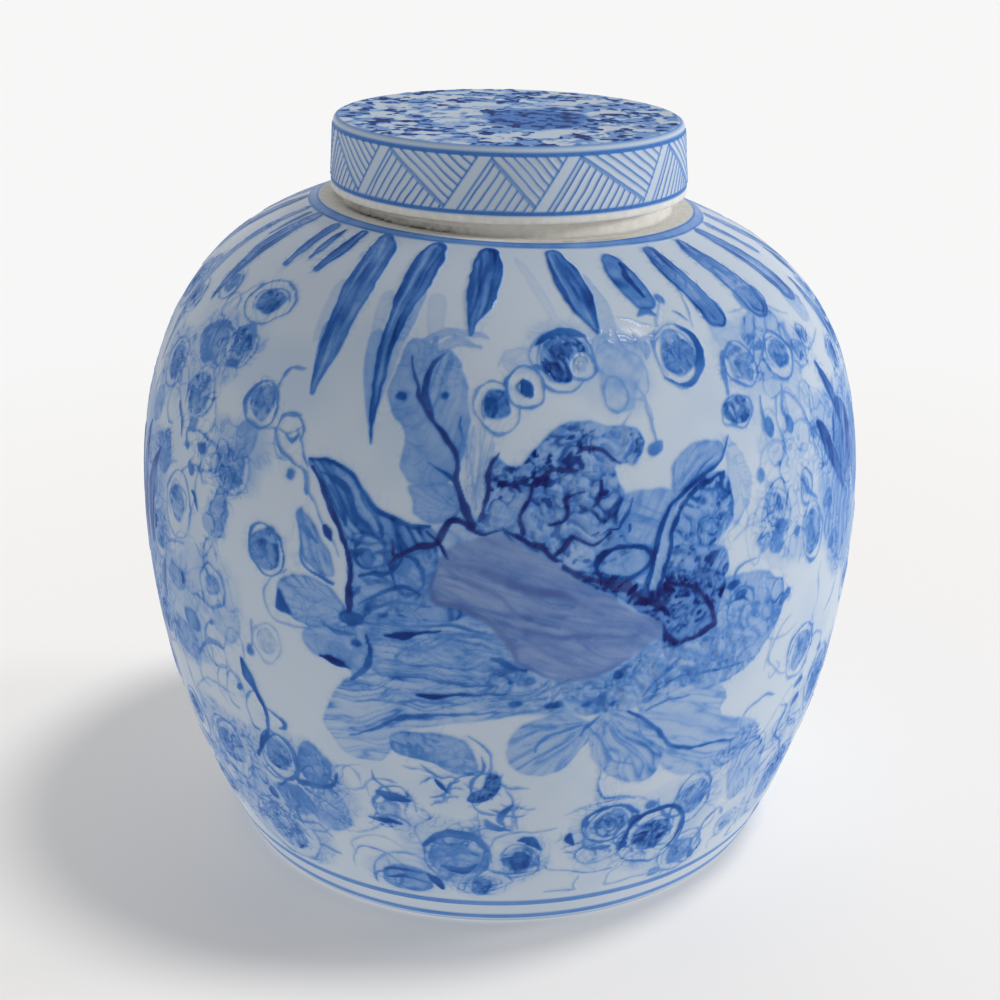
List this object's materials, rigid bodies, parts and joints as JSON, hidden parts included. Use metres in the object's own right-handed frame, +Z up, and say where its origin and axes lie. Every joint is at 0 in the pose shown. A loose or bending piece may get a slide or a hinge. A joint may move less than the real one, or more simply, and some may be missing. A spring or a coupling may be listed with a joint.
{
  "type": "ginger jar",
  "caption": "Squat round-bellied porcelain ginger jar on a plain foot, with a short bare neck and a flat drop-over lid, painted in cobalt blue under a clear glaze.",
  "frame": {"origin": "centre of the foot, on the surface the jar stands on", "axes": "+Z up the belly's axis; -Y is the front, with the large painted blossom; +X is to the right seen from the front, and the neck and lid stand a few millimetres that way"},
  "size_m": [0.24, 0.24, 0.2414],
  "materials": {
    "jar_porcelain": "bluish white porcelain painted in cobalt under a glossy clear glaze; neck, ledge and foot edge bare",
    "lid_porcelain": "the same painted and glazed porcelain, with a bare rim"
  },
  "bodies": {
    "jar": {"jar_body": "jar_porcelain"},
    "lid": {"lid": "lid_porcelain"}
  },
  "joints": [
    {"name": "lid_lift", "type": "slide", "parent": "jar", "child": "lid", "axis": [0, 0, 1], "range_m": [0, 0.06]}
  ]
}
